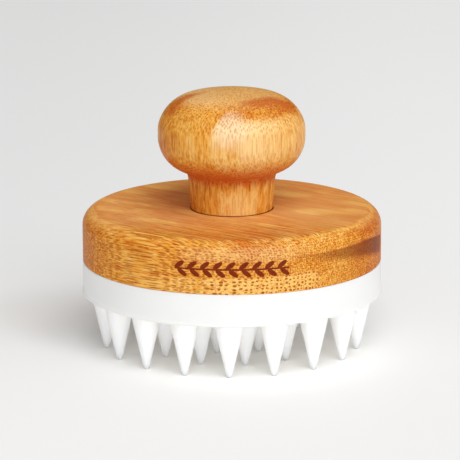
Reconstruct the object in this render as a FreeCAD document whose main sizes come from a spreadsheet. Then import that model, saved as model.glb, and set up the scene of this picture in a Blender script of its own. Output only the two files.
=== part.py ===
import FreeCAD, Part

import math
import os

import Sketcher

# Scalp massager brush: a turned bamboo knob screwed to a bamboo disc, a white plastic collar
# screwed under the disc, and a soft bristle pad that pushes up into the collar.
# Frame: +Z up, origin under the middle of the brush on the plane that the bristle tips stand on.
# The front of the brush faces -Y.

PARTS_FOLDER = "parts"

# Driving dimensions, in millimetres and degrees.
SIZES = {
    # bristles
    "bristle_length": 16.0,
    "bristle_root_diameter": 7.6,
    "bristle_tip_diameter": 1.44,
    "bristle_tip_round": 0.4,
    "ring_pitch": 11.34,
    "ring_turn": -21.3,
    # bristle pad
    "pad_thickness": 3.0,
    "pad_rim_wall": 1.5,
    "pad_lip_width": 3.6,
    "pad_lip_thickness": 0.7,
    "pad_edge_round": 0.3,
    # stiffening plate inside the pad
    "plate_thickness": 1.8,
    "plate_hole_diameter": 5.0,
    "plate_hole_circle": 45.0,
    # collar
    "collar_diameter": 80.4,
    "collar_depth": 8.6,
    "collar_wall": 2.0,
    "collar_web": 2.2,
    "collar_edge_round": 0.4,
    # disc
    "disc_diameter": 80.0,
    "disc_thickness": 13.7,
    "disc_edge_round": 4.2,
    # seat of the knob in the disc
    "seat_depth": 1.0,
    "seat_gap": 0.3,
    # knob
    "knob_diameter": 39.3,
    "knob_height": 32.0,
    "neck_diameter": 21.7,
    "neck_taper": 5.0,
    "neck_fillet": 2.4,
    "underside_radius": 9.45,
    "belt_height": 1.8,
    "belt_drop": 12.5,
    "shoulder_radius": 7.65,
    "haunch_radius": 11.0,
    "dome_radius": 55.4,
    # M5 screw, washer and threaded insert that hold the knob
    "screw_diameter": 5.0,
    "screw_length": 25.0,
    "screw_head_diameter": 10.0,
    "screw_head_height": 3.2,
    "screw_head_round": 1.4,
    "screw_point": 0.6,
    "washer_diameter": 13.0,
    "washer_thickness": 1.0,
    "insert_diameter": 8.0,
    "insert_length": 12.0,
    "insert_setback": 1.5,
    "insert_rib_depth": 0.4,
    "access_diameter": 14.0,
    "counterbore_depth": 3.5,
    # wood screws that hold the collar
    "wood_screw_circle": 50.0,
    "wood_screw_diameter": 3.2,
    "wood_screw_length": 12.0,
    "wood_screw_head": 6.6,
    "wood_screw_point": 2.4,
    "wood_screw_point_diameter": 1.28,
    # cross recess of every screw
    "recess_width": 1.0,
    "recess_span": 3.4,
    "recess_depth": 1.4,
    # radial room left between two pieces where one goes inside the other
    "running_gap": 0.1,
    "close_gap": 0.05,
}

WOOD_SCREW_COUNT = 4
PLATE_HOLE_COUNT = 6
BRISTLES_PER_RING_STEP = 6
INSERT_RIB_COUNT = 4

# How closely an edge's radius and height must match to be taken as the one asked for.
MATCH = 0.001

# Each ring of bristles: its name and its place counted outwards from the centre.
BRISTLE_RINGS = (("inner", 1), ("middle", 2), ("outer", 3))

# Heights that more than one piece shares, each worked out from the driving dimensions.
PAD_FACE = "Sizes.bristle_length"
PLATE_BOTTOM = PAD_FACE + " + Sizes.pad_thickness"
PLATE_TOP = PLATE_BOTTOM + " + Sizes.plate_thickness"
LIP_BOTTOM = PLATE_TOP + " + Sizes.close_gap"
PAD_TOP = LIP_BOTTOM + " + Sizes.pad_lip_thickness"
COLLAR_TOP = PAD_TOP + " + Sizes.collar_web"
COLLAR_BOTTOM = COLLAR_TOP + " - Sizes.collar_depth"
DISC_BOTTOM = COLLAR_TOP
DISC_TOP = DISC_BOTTOM + " + Sizes.disc_thickness"
SEAT = DISC_TOP + " - Sizes.seat_depth"
KNOB_TOP = DISC_TOP + " + Sizes.knob_height"
WASHER_TOP = DISC_BOTTOM + " + Sizes.counterbore_depth"
HEAD_TOP = WASHER_TOP + " - Sizes.washer_thickness"
INSERT_BOTTOM = SEAT + " + Sizes.insert_setback"
INSERT_TOP = INSERT_BOTTOM + " + Sizes.insert_length"
SCREW_TIP = HEAD_TOP + " + Sizes.screw_length"

# Radii that more than one piece shares.
SCREW_HOLE_RADIUS = "Sizes.screw_diameter / 2 + Sizes.close_gap"
COLLAR_INSIDE = "Sizes.collar_diameter / 2 - Sizes.collar_wall"
PAD_OUTSIDE = COLLAR_INSIDE + " - Sizes.running_gap"
PLATE_POCKET = PAD_OUTSIDE + " - Sizes.pad_rim_wall"

doc = FreeCAD.newDocument("ScalpMassagerBrush")
sheet = doc.addObject("Spreadsheet::Sheet", "Sizes")


def fill_sheet():
    for row, (alias, value) in enumerate(SIZES.items(), start=1):
        sheet.set("A%d" % row, alias)
        sheet.set("B%d" % row, str(value))
        sheet.setAlias("B%d" % row, alias)
    doc.recompute()


def value_of(expression):
    """The number that an expression on the sheet gives now."""
    result = sheet.evalExpression(expression.replace("Sizes.", ""))
    return float(getattr(result, "Value", result))


def new_body(label):
    body = doc.addObject("PartDesign::Body", label)
    body.Label = label
    return body


def origin_feature(body, role):
    for feature in body.Origin.OriginFeatures:
        if feature.Role == role:
            return feature
    raise RuntimeError("no %s in %s" % (role, body.Label))


def new_sketch(body, name, plane):
    sketch = body.newObject("Sketcher::SketchObject", body.Label + "_" + name)
    sketch.AttachmentSupport = [(origin_feature(body, plane), "")]
    sketch.MapMode = "FlatFace"
    return sketch


def bind(feature, property_name, expression):
    feature.setExpression(property_name, expression)


def add_named(sketch, name, expression, *constraint):
    """Adds a dimension to a sketch and drives it from the sheet."""
    kind = constraint[0]
    value = value_of(expression)
    if kind == "Angle":
        value = math.radians(value)
    index = sketch.addConstraint(Sketcher.Constraint(*constraint, value))
    sketch.renameConstraint(index, name)
    bind(sketch, "Constraints." + name, expression)


def pin_point(sketch, name, line, end, radius, height):
    """Fixes one end of a sketch line at a radius and a height given as expressions."""
    if radius == "0":
        sketch.addConstraint(Sketcher.Constraint("PointOnObject", line, end, -2))
    else:
        add_named(sketch, name + "_radius", radius, "DistanceX", -1, 1, line, end)
    add_named(sketch, name + "_height", height, "DistanceY", -1, 1, line, end)


def outline(body, name, corners):
    """A closed outline of straight lines, in the plane of radius and height."""
    sketch = new_sketch(body, name, "XZ_Plane")
    points = []
    for radius, height in corners:
        points.append(FreeCAD.Vector(value_of(radius), value_of(height), 0))
    count = len(points)
    for start in range(count):
        sketch.addGeometry(Part.LineSegment(points[start], points[(start + 1) % count]))
    for line in range(count):
        sketch.addConstraint(Sketcher.Constraint("Coincident", line, 2, (line + 1) % count, 1))
    for line, (radius, height) in enumerate(corners):
        pin_point(sketch, "corner_%d" % line, line, 1, radius, height)
    return sketch


def turn(body, name, sketch):
    """Turns a sketch round the upright axis."""
    feature = body.newObject("PartDesign::Revolution", body.Label + "_" + name)
    feature.Profile = sketch
    feature.ReferenceAxis = (sketch, ["V_Axis"])
    feature.Angle = 360
    sketch.Visibility = False
    doc.recompute()
    return feature


def rim_edges(feature, radius, height):
    """Names of the round edges of a feature that lie at a radius and a height."""
    wanted_radius = value_of(radius)
    wanted_height = value_of(height)
    names = []
    for number, edge in enumerate(feature.Shape.Edges, start=1):
        curve = edge.Curve
        if not isinstance(curve, Part.Circle):
            continue
        same_radius = abs(curve.Radius - wanted_radius) < MATCH
        same_height = abs(curve.Center.z - wanted_height) < MATCH
        if same_radius and same_height:
            names.append("Edge%d" % number)
    if not names:
        raise RuntimeError("no rim edge on " + feature.Label)
    return names


def round_rim(body, name, rims, size):
    """Rounds the rim edges, each given by radius and height, of the newest feature."""
    base = body.Tip
    names = []
    for radius, height in rims:
        names.extend(rim_edges(base, radius, height))
    fillet = body.newObject("PartDesign::Fillet", body.Label + "_" + name)
    fillet.Base = (base, names)
    bind(fillet, "Radius", size)
    doc.recompute()
    return fillet


def cut_or_add(body, kind, name, sizes, place):
    """A PartDesign primitive with its sizes and its place driven from the sheet."""
    feature = body.newObject("PartDesign::" + kind, body.Label + "_" + name)
    for property_name, expression in sizes.items():
        bind(feature, property_name, expression)
    for axis, expression in zip("xyz", place):
        bind(feature, "Placement.Base." + axis, expression)
    doc.recompute()
    return feature


def repeat_round(body, name, originals, count):
    """Repeats features round the upright axis."""
    pattern = body.newObject("PartDesign::PolarPattern", body.Label + "_" + name)
    pattern.Originals = originals
    pattern.Axis = (origin_feature(body, "Z_Axis"), [""])
    pattern.Angle = 360
    pattern.Occurrences = count
    body.Tip = pattern
    doc.recompute()
    return pattern


def cut_cross_recess(body, centre_x, head_bottom):
    """The two crossing slots of a cross-recess screw head that faces down."""
    long_side = "Sizes.recess_span"
    short_side = "Sizes.recess_width"
    slots = []
    for name, length, width in (("slot_a", long_side, short_side), ("slot_b", short_side, long_side)):
        sizes = {"Length": length, "Width": width, "Height": "Sizes.recess_depth"}
        place = (centre_x + " - (" + length + ") / 2", "-(" + width + ") / 2", head_bottom)
        slots.append(cut_or_add(body, "SubtractiveBox", name, sizes, place))
    return slots


def circle_crossing(first, first_radius, second, second_radius):
    """Where two circles cross, on the left as seen from the first centre."""
    apart = second.sub(first)
    distance = apart.Length
    along = (distance ** 2 + first_radius ** 2 - second_radius ** 2) / (2 * distance)
    aside = math.sqrt(first_radius ** 2 - along ** 2)
    direction = apart.normalize()
    across = FreeCAD.Vector(-direction.y, direction.x, 0)
    return first.add(direction.multiply(along)).add(across.multiply(aside))


def arc_between(centre, radius, start, end):
    """The sketch arc that runs anticlockwise from start to end."""
    first = math.atan2(start.y - centre.y, start.x - centre.x)
    last = math.atan2(end.y - centre.y, end.x - centre.x)
    return Part.ArcOfCircle(Part.Circle(centre, FreeCAD.Vector(0, 0, 1), radius), first, last)


def away_from(centre, other, radius):
    """The point of a circle that lies on the far side from another centre."""
    direction = centre.sub(other).normalize()
    return centre.add(direction.multiply(radius))


def knob_outline(body):
    """Half of the knob's section: tapered neck, rounded underside, upright belt, domed top."""
    sketch = new_sketch(body, "outline", "XZ_Plane")
    vector = FreeCAD.Vector
    seat = value_of(SEAT)
    top = value_of(KNOB_TOP)
    half_width = value_of("Sizes.knob_diameter / 2")
    neck_radius = value_of("Sizes.neck_diameter / 2")
    taper = math.radians(value_of("Sizes.neck_taper"))
    fillet = value_of("Sizes.neck_fillet")
    under = value_of("Sizes.underside_radius")
    shoulder = value_of("Sizes.shoulder_radius")
    haunch = value_of("Sizes.haunch_radius")
    dome = value_of("Sizes.dome_radius")
    belt_low = top - value_of("Sizes.belt_drop")
    belt_high = belt_low + value_of("Sizes.belt_height")

    # Centres of the arcs that meet smoothly, from the underside up to the dome.
    under_centre = vector(half_width - under, belt_low, 0)
    shoulder_centre = vector(half_width - shoulder, belt_high, 0)
    dome_centre = vector(0, top - dome, 0)
    haunch_centre = circle_crossing(dome_centre, dome - haunch, shoulder_centre, haunch - shoulder)
    shoulder_end = away_from(shoulder_centre, haunch_centre, shoulder)
    haunch_end = away_from(haunch_centre, dome_centre, haunch)

    # The concave fillet touches the tapered neck on one side and the underside arc on the other.
    foot = vector(neck_radius, seat, 0)
    neck_direction = vector(math.sin(taper), math.cos(taper), 0)
    neck_outward = vector(math.cos(taper), -math.sin(taper), 0)
    offset_foot = foot.add(neck_outward.multiply(fillet))
    to_under = under_centre.sub(offset_foot)
    along = to_under.dot(neck_direction)
    aside = math.sqrt(to_under.Length ** 2 - along ** 2)
    reach = math.sqrt((under + fillet) ** 2 - aside ** 2)
    climb = along - reach
    fillet_centre = offset_foot.add(vector(neck_direction).multiply(climb))
    neck_end = foot.add(vector(neck_direction).multiply(climb))
    fillet_end = away_from(fillet_centre, under_centre, -fillet)

    base_line, neck_line, belt_line, axis_line = 0, 1, 4, 8
    fillet_arc, under_arc, shoulder_arc, haunch_arc, dome_arc = 2, 3, 5, 6, 7
    belt_start = vector(half_width, belt_low, 0)
    belt_end = vector(half_width, belt_high, 0)
    sketch.addGeometry(Part.LineSegment(vector(0, seat, 0), foot))
    sketch.addGeometry(Part.LineSegment(foot, neck_end))
    sketch.addGeometry(arc_between(fillet_centre, fillet, fillet_end, neck_end))
    sketch.addGeometry(arc_between(under_centre, under, fillet_end, belt_start))
    sketch.addGeometry(Part.LineSegment(belt_start, belt_end))
    sketch.addGeometry(arc_between(shoulder_centre, shoulder, belt_end, shoulder_end))
    sketch.addGeometry(arc_between(haunch_centre, haunch, shoulder_end, haunch_end))
    sketch.addGeometry(arc_between(dome_centre, dome, haunch_end, vector(0, top, 0)))
    sketch.addGeometry(Part.LineSegment(vector(0, top, 0), vector(0, seat, 0)))

    def join(kind, first, first_end, second, second_end):
        sketch.addConstraint(Sketcher.Constraint(kind, first, first_end, second, second_end))

    join("Coincident", base_line, 2, neck_line, 1)
    join("Tangent", neck_line, 2, fillet_arc, 2)
    join("Tangent", fillet_arc, 1, under_arc, 1)
    join("Tangent", under_arc, 2, belt_line, 1)
    join("Tangent", belt_line, 2, shoulder_arc, 1)
    join("Tangent", shoulder_arc, 2, haunch_arc, 1)
    join("Tangent", haunch_arc, 2, dome_arc, 1)
    join("Coincident", dome_arc, 2, axis_line, 1)
    join("Coincident", axis_line, 2, base_line, 1)
    sketch.addConstraint(Sketcher.Constraint("Horizontal", base_line))
    sketch.addConstraint(Sketcher.Constraint("Vertical", belt_line))
    sketch.addConstraint(Sketcher.Constraint("PointOnObject", base_line, 1, -2))
    sketch.addConstraint(Sketcher.Constraint("PointOnObject", dome_arc, 2, -2))
    sketch.addConstraint(Sketcher.Constraint("PointOnObject", dome_arc, 3, -2))
    add_named(sketch, "seat_height", SEAT, "DistanceY", -1, 1, base_line, 1)
    add_named(sketch, "top_height", KNOB_TOP, "DistanceY", -1, 1, dome_arc, 2)
    add_named(sketch, "neck_radius", "Sizes.neck_diameter / 2", "DistanceX", -1, 1, neck_line, 1)
    add_named(sketch, "knob_radius", "Sizes.knob_diameter / 2", "DistanceX", -1, 1, belt_line, 1)
    add_named(sketch, "belt_low", KNOB_TOP + " - Sizes.belt_drop", "DistanceY", -1, 1, belt_line, 1)
    add_named(sketch, "belt_height", "Sizes.belt_height", "DistanceY", belt_line, 1, belt_line, 2)
    add_named(sketch, "neck_angle", "90 - Sizes.neck_taper", "Angle", neck_line)
    add_named(sketch, "fillet_radius", "Sizes.neck_fillet", "Radius", fillet_arc)
    add_named(sketch, "under_radius", "Sizes.underside_radius", "Radius", under_arc)
    add_named(sketch, "shoulder_radius", "Sizes.shoulder_radius", "Radius", shoulder_arc)
    add_named(sketch, "haunch_radius", "Sizes.haunch_radius", "Radius", haunch_arc)
    add_named(sketch, "dome_radius", "Sizes.dome_radius", "Radius", dome_arc)
    return sketch


def make_knob():
    body = new_body("knob")
    turn(body, "shape", knob_outline(body))
    insert_hole = {
        "Radius": "Sizes.insert_diameter / 2 + Sizes.close_gap",
        "Height": "Sizes.insert_setback + Sizes.insert_length",
    }
    cut_or_add(body, "SubtractiveCylinder", "insert_hole", insert_hole, ("0", "0", SEAT))
    tip_hole = {
        "Radius": "Sizes.screw_diameter / 2 + Sizes.running_gap",
        "Height": SCREW_TIP + " + Sizes.insert_setback - (" + SEAT + ")",
    }
    cut_or_add(body, "SubtractiveCylinder", "tip_hole", tip_hole, ("0", "0", SEAT))
    return body


def make_knob_insert():
    """The brass insert: a ribbed sleeve with a flange at its mouth."""
    body = new_body("knob_insert")
    outside = "Sizes.insert_diameter / 2"
    waist = outside + " - Sizes.insert_rib_depth"
    corners = [(SCREW_HOLE_RADIUS, INSERT_BOTTOM)]
    band_count = 2 * INSERT_RIB_COUNT - 1
    step = "Sizes.insert_length / %d" % band_count
    for band in range(band_count):
        radius = outside if band % 2 == 0 else waist
        corners.append((radius, INSERT_BOTTOM + " + %d * %s" % (band, step)))
        corners.append((radius, INSERT_BOTTOM + " + %d * %s" % (band + 1, step)))
    corners.append((SCREW_HOLE_RADIUS, INSERT_TOP))
    turn(body, "sleeve", outline(body, "outline", corners))
    return body


def make_handle_screw():
    """The pan-head M5 screw, head down."""
    body = new_body("handle_screw")
    shank = "Sizes.screw_diameter / 2"
    head = "Sizes.screw_head_diameter / 2"
    head_bottom = HEAD_TOP + " - Sizes.screw_head_height"
    corners = [
        ("0", head_bottom),
        (head, head_bottom),
        (head, HEAD_TOP),
        (shank, HEAD_TOP),
        (shank, SCREW_TIP + " - Sizes.screw_point"),
        (shank + " - Sizes.screw_point", SCREW_TIP),
        ("0", SCREW_TIP),
    ]
    turn(body, "screw", outline(body, "outline", corners))
    round_rim(body, "head_round", [(head, head_bottom)], "Sizes.screw_head_round")
    cut_cross_recess(body, "0", head_bottom)
    return body


def make_handle_washer():
    body = new_body("handle_washer")
    sketch = new_sketch(body, "outline", "XY_Plane")
    axis = FreeCAD.Vector(0, 0, 1)
    centre = FreeCAD.Vector(0, 0, 0)
    for name, radius in (("outside", "Sizes.washer_diameter / 2"), ("hole", SCREW_HOLE_RADIUS)):
        circle = sketch.addGeometry(Part.Circle(centre, axis, value_of(radius)))
        sketch.addConstraint(Sketcher.Constraint("Coincident", circle, 3, -1, 1))
        add_named(sketch, name, radius, "Radius", circle)
    bind(sketch, "AttachmentOffset.Base.z", HEAD_TOP)
    pad = body.newObject("PartDesign::Pad", "handle_washer_pad")
    pad.Profile = sketch
    bind(pad, "Length", "Sizes.washer_thickness")
    doc.recompute()
    return body


def make_disc():
    """The bamboo disc, with the knob's seat on top and the screw's counterbore below."""
    body = new_body("disc")
    outside = "Sizes.disc_diameter / 2"
    seat_radius = "Sizes.neck_diameter / 2 + Sizes.seat_gap"
    access = "Sizes.access_diameter / 2"
    corners = [
        (SCREW_HOLE_RADIUS, WASHER_TOP),
        (access, WASHER_TOP),
        (access, DISC_BOTTOM),
        (outside, DISC_BOTTOM),
        (outside, DISC_TOP),
        (seat_radius, DISC_TOP),
        (seat_radius, SEAT),
        (SCREW_HOLE_RADIUS, SEAT),
    ]
    turn(body, "blank", outline(body, "outline", corners))
    round_rim(body, "edge_round", [(outside, DISC_TOP)], "Sizes.disc_edge_round")
    pilot = {
        "Radius": "Sizes.wood_screw_diameter / 2 + Sizes.close_gap",
        "Height": "Sizes.wood_screw_length - Sizes.collar_web + Sizes.running_gap",
    }
    place = ("Sizes.wood_screw_circle / 2", "0", DISC_BOTTOM)
    hole = cut_or_add(body, "SubtractiveCylinder", "pilot_hole", pilot, place)
    repeat_round(body, "pilot_holes", [hole], WOOD_SCREW_COUNT)
    return body


def make_collar():
    """The collar: an upside-down cup whose web is screwed to the disc."""
    body = new_body("collar")
    outside = "Sizes.collar_diameter / 2"
    access = "Sizes.access_diameter / 2"
    corners = [
        (access, PAD_TOP),
        (COLLAR_INSIDE, PAD_TOP),
        (COLLAR_INSIDE, COLLAR_BOTTOM),
        (outside, COLLAR_BOTTOM),
        (outside, COLLAR_TOP),
        (access, COLLAR_TOP),
    ]
    turn(body, "cup", outline(body, "outline", corners))
    round_rim(body, "edge_round", [(outside, COLLAR_BOTTOM)], "Sizes.collar_edge_round")
    round_rim(body, "top_round", [(outside, COLLAR_TOP)], "Sizes.collar_edge_round / 2")
    centre = "Sizes.wood_screw_circle / 2"
    through = {
        "Radius": "Sizes.wood_screw_diameter / 2 + Sizes.running_gap",
        "Height": "Sizes.collar_web",
    }
    hole = cut_or_add(body, "SubtractiveCylinder", "screw_hole", through, (centre, "0", PAD_TOP))
    sink = {
        "Radius1": "Sizes.wood_screw_head / 2 + Sizes.close_gap",
        "Radius2": "Sizes.wood_screw_diameter / 2 + Sizes.close_gap",
        "Height": "(Sizes.wood_screw_head - Sizes.wood_screw_diameter) / 2",
    }
    countersink = cut_or_add(body, "SubtractiveCone", "countersink", sink, (centre, "0", PAD_TOP))
    repeat_round(body, "screw_holes", [hole, countersink], WOOD_SCREW_COUNT)
    return body


def make_collar_screws():
    """Four countersunk wood screws, heads down, as one group."""
    body = new_body("collar_screws")
    centre = "Sizes.wood_screw_circle / 2"
    head_height = "(Sizes.wood_screw_head - Sizes.wood_screw_diameter) / 2"
    radius = "Sizes.wood_screw_diameter / 2"
    shank_end = PAD_TOP + " + Sizes.wood_screw_length - Sizes.wood_screw_point"
    head = {"Radius1": "Sizes.wood_screw_head / 2", "Radius2": radius, "Height": head_height}
    shank = {"Radius": radius, "Height": "Sizes.wood_screw_length - Sizes.wood_screw_point"}
    point = {
        "Radius1": radius,
        "Radius2": "Sizes.wood_screw_point_diameter / 2",
        "Height": "Sizes.wood_screw_point",
    }
    features = [
        cut_or_add(body, "AdditiveCylinder", "shank", shank, (centre, "0", PAD_TOP)),
        cut_or_add(body, "AdditiveCone", "head", head, (centre, "0", PAD_TOP)),
        cut_or_add(body, "AdditiveCone", "point", point, (centre, "0", shank_end)),
    ]
    features.extend(cut_cross_recess(body, centre, PAD_TOP))
    repeat_round(body, "set", features, WOOD_SCREW_COUNT)
    return body


def make_bristle_pad():
    """The soft pad: a flat membrane whose rim folds over the stiffening plate."""
    body = new_body("bristle_pad")
    lip_inside = PLATE_POCKET + " - Sizes.pad_lip_width"
    corners = [
        ("0", PAD_FACE),
        (PAD_OUTSIDE, PAD_FACE),
        (PAD_OUTSIDE, PAD_TOP),
        (lip_inside, PAD_TOP),
        (lip_inside, LIP_BOTTOM),
        (PLATE_POCKET, LIP_BOTTOM),
        (PLATE_POCKET, PLATE_BOTTOM),
        ("0", PLATE_BOTTOM),
    ]
    turn(body, "membrane", outline(body, "outline", corners))
    round_rim(body, "edge_round", [(PAD_OUTSIDE, PAD_FACE)], "Sizes.pad_edge_round")
    return body


def make_pad_plate():
    """The stiffening plate, with a ring of moulding holes."""
    body = new_body("pad_plate")
    outside = PLATE_POCKET + " - Sizes.close_gap"
    corners = [
        ("0", PLATE_BOTTOM),
        (outside, PLATE_BOTTOM),
        (outside, PLATE_TOP),
        ("0", PLATE_TOP),
    ]
    turn(body, "blank", outline(body, "outline", corners))
    size = {"Radius": "Sizes.plate_hole_diameter / 2", "Height": "Sizes.plate_thickness"}
    place = ("Sizes.plate_hole_circle / 2", "0", PLATE_BOTTOM)
    hole = cut_or_add(body, "SubtractiveCylinder", "hole", size, place)
    repeat_round(body, "holes", [hole], PLATE_HOLE_COUNT)
    return body


def make_bristle(label, ring, angle):
    """One tapered bristle, with angle an expression in degrees from the front, towards +X."""
    body = new_body(label)
    sizes = {
        "Radius1": "Sizes.bristle_tip_diameter / 2",
        "Radius2": "Sizes.bristle_root_diameter / 2",
        "Height": "Sizes.bristle_length",
    }
    cut_or_add(body, "AdditiveCone", "cone", sizes, ("0", "0", "0"))
    round_rim(body, "tip", [("Sizes.bristle_tip_diameter / 2", "0")], "Sizes.bristle_tip_round")
    if ring > 0:
        radius = "%d * Sizes.ring_pitch" % ring
        bind(body, "Placement.Base.x", "%s * sin((%s) * 1 deg)" % (radius, angle))
        bind(body, "Placement.Base.y", "-%s * cos((%s) * 1 deg)" % (radius, angle))
    doc.recompute()
    return body


def make_bristles():
    bristles = [make_bristle("bristle_centre", 0, "0")]
    for ring_name, ring in BRISTLE_RINGS:
        count = BRISTLES_PER_RING_STEP * ring
        for number in range(count):
            label = "bristle_%s_%02d" % (ring_name, number + 1)
            angle = "Sizes.ring_turn + %d * %.6g" % (number, 360 / count)
            bristles.append(make_bristle(label, ring, angle))
    return bristles


def check_document():
    for item in doc.Objects:
        for state in item.State:
            if state in ("Invalid", "Error"):
                raise RuntimeError("%s is %s" % (item.Label, state))


def check_shape(item, solid_count):
    shape = item.Shape
    if shape.isNull() or not shape.isValid():
        raise RuntimeError(item.Label + " has no valid shape")
    if len(shape.Solids) != solid_count:
        raise RuntimeError("%s has %d solids" % (item.Label, len(shape.Solids)))


def write_parts(items):
    os.makedirs(PARTS_FOLDER, exist_ok=True)
    for item in items:
        item.Shape.exportStep(os.path.join(PARTS_FOLDER, item.Label + ".step"))
        box = item.Shape.BoundBox
        line = "%-20s volume %9.1f  radius %5.2f  z %6.2f to %6.2f"
        print(line % (item.Label, item.Shape.Volume, box.XMax, box.ZMin, box.ZMax))


def main():
    fill_sheet()
    pieces = [
        make_knob(),
        make_knob_insert(),
        make_handle_screw(),
        make_handle_washer(),
        make_disc(),
        make_collar(),
        make_bristle_pad(),
        make_pad_plate(),
    ]
    pieces.extend(make_bristles())
    collar_screws = make_collar_screws()
    doc.recompute()
    check_document()
    for piece in pieces:
        check_shape(piece, 1)
    check_shape(collar_screws, WOOD_SCREW_COUNT)
    write_parts(pieces + [collar_screws])


main()
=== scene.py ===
import math

import bmesh
import bpy
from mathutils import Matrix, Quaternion, Vector


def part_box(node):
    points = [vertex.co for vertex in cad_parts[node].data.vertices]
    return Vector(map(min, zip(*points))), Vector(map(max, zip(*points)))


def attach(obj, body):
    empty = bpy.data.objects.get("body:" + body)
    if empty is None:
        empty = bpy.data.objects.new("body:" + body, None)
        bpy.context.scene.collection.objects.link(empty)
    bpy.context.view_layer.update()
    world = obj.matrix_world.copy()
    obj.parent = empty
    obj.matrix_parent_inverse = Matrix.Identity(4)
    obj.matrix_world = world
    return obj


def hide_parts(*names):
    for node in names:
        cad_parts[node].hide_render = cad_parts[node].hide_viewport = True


# A round scalp massager standing on its bristles: bamboo knob and disc, white collar and a soft
# bristle pad. Every size is in metres unless its name says otherwise.

MM = 0.001

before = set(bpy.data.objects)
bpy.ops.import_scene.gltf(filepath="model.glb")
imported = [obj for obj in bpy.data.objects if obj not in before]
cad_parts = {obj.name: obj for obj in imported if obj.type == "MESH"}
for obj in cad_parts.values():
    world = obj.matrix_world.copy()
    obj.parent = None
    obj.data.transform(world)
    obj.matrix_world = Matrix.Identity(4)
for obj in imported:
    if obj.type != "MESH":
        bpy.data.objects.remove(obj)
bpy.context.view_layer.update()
scene = bpy.context.scene

# -------------------- sizes read from the frame

knob_low, knob_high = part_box("knob")
disc_low, disc_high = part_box("disc")
collar_low, collar_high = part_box("collar")
pad_low, pad_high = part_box("bristle_pad")
plate_low, plate_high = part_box("pad_plate")
insert_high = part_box("knob_insert")[1]
screw_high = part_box("handle_screw")[1]
washer_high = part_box("handle_washer")[1]
bristle_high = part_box("bristle_centre")[1]

DISC_RADIUS = disc_high.x
COLLAR_RADIUS = collar_high.x
PAD_RADIUS = pad_high.x
PLATE_RADIUS = plate_high.x

# Sizes that the frame's boxes do not give, or not exactly.
KNOB_RADIUS = 19.65 * MM
NECK_RADIUS = 10.85 * MM
NECK_TAPER = math.radians(5.0)
NECK_FILLET = 2.4 * MM
UNDERSIDE_RADIUS = 9.45 * MM
BELT_DROP = 12.5 * MM
BELT_HEIGHT = 1.8 * MM
SHOULDER_RADIUS = 7.65 * MM
HAUNCH_RADIUS = 11.0 * MM
DOME_RADIUS = 55.4 * MM
SEAT_GAP = 0.3 * MM
SEAT_EDGE_ROUND = 0.15 * MM
DISC_EDGE_ROUND = 4.2 * MM
DISC_FOOT_ROUND = 0.2 * MM
ACCESS_RADIUS = 7.0 * MM
SCREW_HOLE_RADIUS = 2.55 * MM
INSERT_HOLE_RADIUS = 4.05 * MM
TIP_HOLE_RADIUS = 2.6 * MM
TIP_HOLE_REACH = 1.5 * MM
COLLAR_WALL = 2.0 * MM
COLLAR_LIP_ROUND = 0.25 * MM
COLLAR_LIP_HEIGHT = 0.75 * MM
COLLAR_LIP_STEP = 0.16 * MM
COLLAR_CREASE_WIDTH = 0.02 * MM
COLLAR_CREASE_HEIGHT = 0.05 * MM
WOOD_SCREW_COUNT = 4
WOOD_SCREW_CIRCLE_RADIUS = 25.0 * MM
PILOT_RADIUS = 1.65 * MM
PILOT_DEPTH = 9.9 * MM
SINK_RADIUS = 3.35 * MM
SINK_DEPTH = 1.7 * MM
THROUGH_RADIUS = 1.7 * MM
PAD_EDGE_ROUND = 0.3 * MM
PAD_LIP_WIDTH = 3.6 * MM
PAD_LIP_THICKNESS = 0.7 * MM
POCKET_GAP = 0.05 * MM
BRISTLE_TIP_RADIUS = 0.72 * MM
BRISTLE_NUB_HEIGHT = 1.15 * MM
BRISTLE_NUB_STEP = 0.06 * MM
BRISTLE_FLAT_RADIUS = 0.38 * MM
BRISTLE_ROOT_FLARE = 0.35 * MM
BRISTLE_LEAST_FLARE = 0.02 * MM
BRISTLE_ROOM = 0.05 * MM
BRISTLE_BULGE = 0.36 * MM

# The root flare's height for its width and how it bends; how much the bulge leans to the root.
FLARE_HEIGHT_SHARE = 1.3
FLARE_BEND = 1.5
BULGE_LEAN = 0.45

# How many bristles stand on each ring.
RINGS = {"inner": 6, "middle": 12, "outer": 18}

TURNED_SEGMENTS = 224
BRISTLE_SEGMENTS = 40
HOLE_SEGMENTS = 48
FLARE_STEPS = 5
SIDE_STEPS = 18
ARC_STEP = math.radians(6)
SHARP_ANGLE = math.radians(35)
AXIS_TOLERANCE = 1e-9
SAME_POINT = 1e-6

# -------------------- mesh helpers


def ring(bm, radius, height, centre=(0.0, 0.0), segments=TURNED_SEGMENTS):
    """A level circle of vertices."""
    vertices = []
    for step in range(segments):
        angle = 2 * math.pi * step / segments
        place = (centre[0] + radius * math.cos(angle), centre[1] + radius * math.sin(angle), height)
        vertices.append(bm.verts.new(place))
    return vertices


def turned(circle):
    """The same circle of vertices, starting one later."""
    return circle[1:] + circle[:1]


def skin(bm, outline, centre=(0.0, 0.0), segments=TURNED_SEGMENTS):
    """Turns an outline of (radius, height) points; returns its first and last circles.

    A point on the axis becomes one vertex that closes the surface there.
    """
    rows = []
    for radius, height in outline:
        if radius < AXIS_TOLERANCE:
            rows.append([bm.verts.new((centre[0], centre[1], height))])
        else:
            rows.append(ring(bm, radius, height, centre, segments))
    for first, second in zip(rows, rows[1:]):
        if len(first) == 1 or len(second) == 1:
            pole, circle = (first[0], second) if len(first) == 1 else (second[0], first)
            for start, end in zip(circle, turned(circle)):
                bm.faces.new((pole, start, end))
        else:
            for corners in zip(first, turned(first), turned(second), second):
                bm.faces.new(corners)
    return rows[0], rows[-1]


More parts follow.
